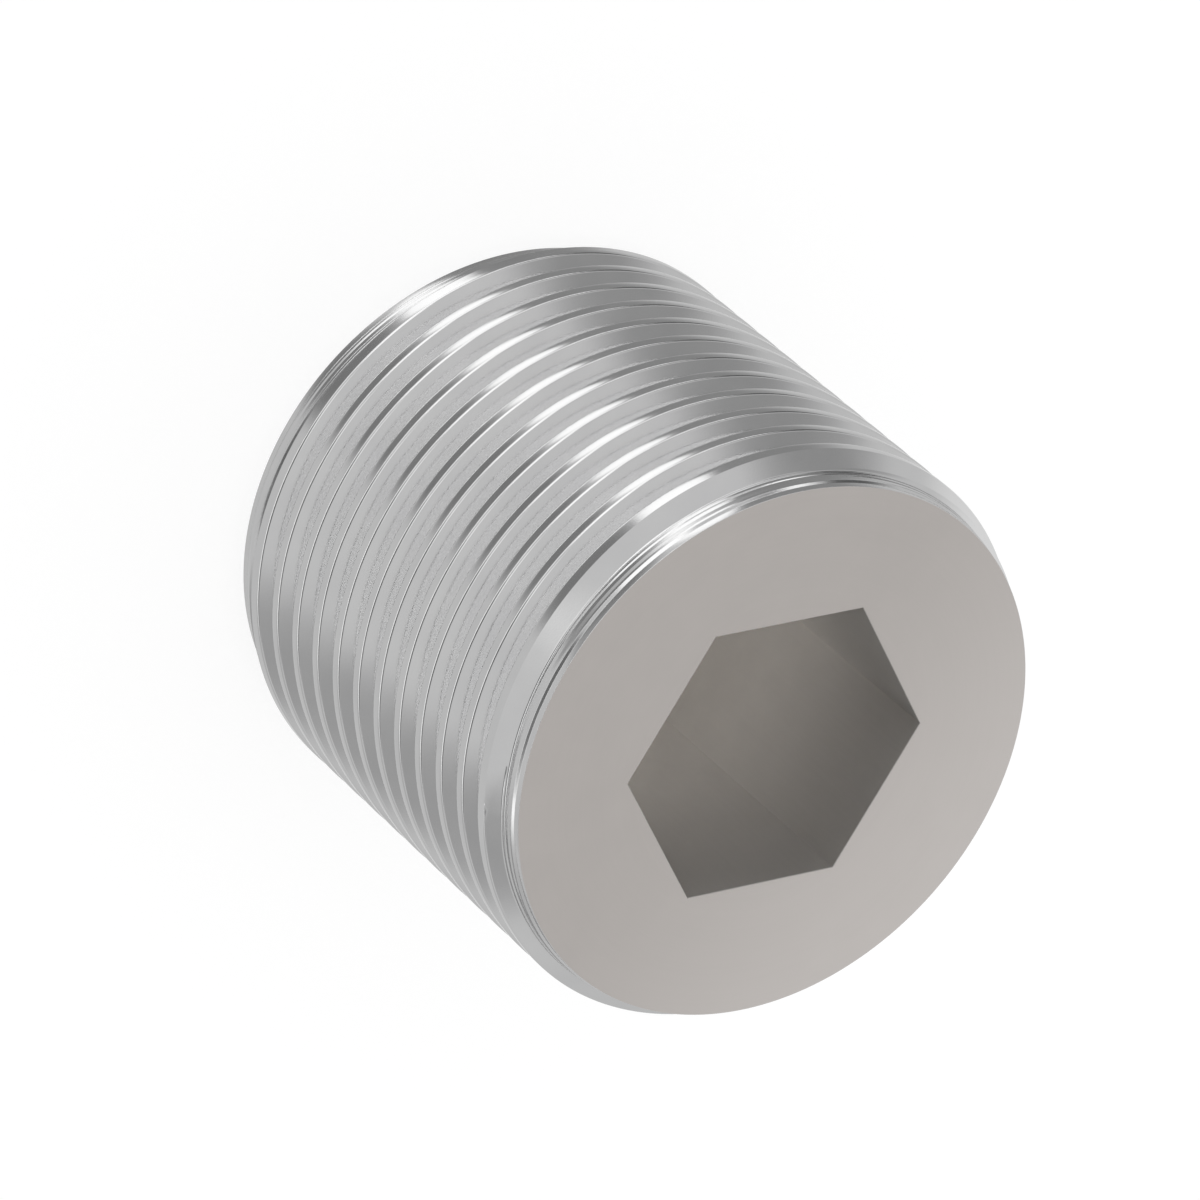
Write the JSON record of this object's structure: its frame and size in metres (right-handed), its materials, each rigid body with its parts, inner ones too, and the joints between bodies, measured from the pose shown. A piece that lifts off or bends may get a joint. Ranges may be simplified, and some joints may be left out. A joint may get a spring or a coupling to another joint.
{
  "type": "grub screw",
  "caption": "Short headless screw with a fine metric thread over its whole length, a hexagon socket in one flat end and a flat point at the other.",
  "frame": {"origin": "centre of the flat point end, on the screw's axis", "axes": "+Z along the screw's axis from the point end out of the hexagon socket; +X through a corner of the hexagon"},
  "size_m": [0.03, 0.03, 0.0268],
  "materials": {
    "plain_steel": "turned steel, satin on the flat ends and in the socket, bright on the thread"
  },
  "bodies": {
    "root": {"grub_screw": "plain_steel"}
  },
  "joints": []
}
